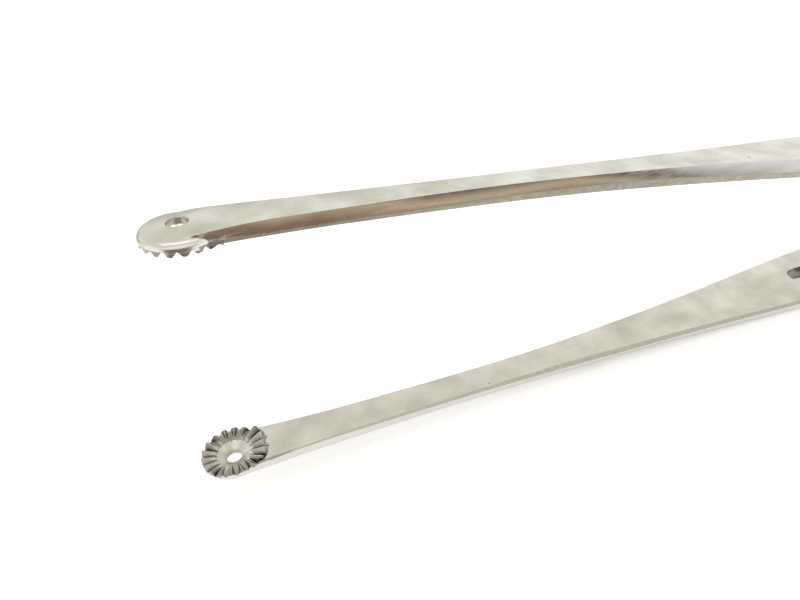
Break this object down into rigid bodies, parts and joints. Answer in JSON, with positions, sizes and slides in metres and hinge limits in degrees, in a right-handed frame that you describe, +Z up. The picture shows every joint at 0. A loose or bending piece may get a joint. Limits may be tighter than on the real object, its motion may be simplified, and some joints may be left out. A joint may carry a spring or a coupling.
{
  "type": "grasping forceps",
  "caption": "Spring grasping forceps: bowed steel arms joined at the tail, with round cupped jaws toothed radially round a central hole.",
  "frame": {"origin": "centre of the bounding box's bottom face, on the plane that the back of the lower grip rests on", "axes": "+X along the forceps from the jaws to the tail, +Y across the arms, +Z up, in the plane in which the arms open"},
  "size_m": [0.2012, 0.0134, 0.0414],
  "materials": {
    "arm_steel": "satin ground stainless steel",
    "pin_steel": "turned stainless steel"
  },
  "bodies": {
    "lower_arm": {"lower_arm": "arm_steel"},
    "upper_arm": {"upper_arm": "arm_steel", "guide_pin": "pin_steel"}
  },
  "joints": [
    {"name": "arm_closing", "type": "hinge", "parent": "lower_arm", "child": "upper_arm", "pos_m": [0.0825, 0, 0.00584], "axis": [0, -1, 0], "range_deg": [0, 10.4], "stiffness_Nm_per_rad": 3, "springref_deg": -0.57}
  ]
}
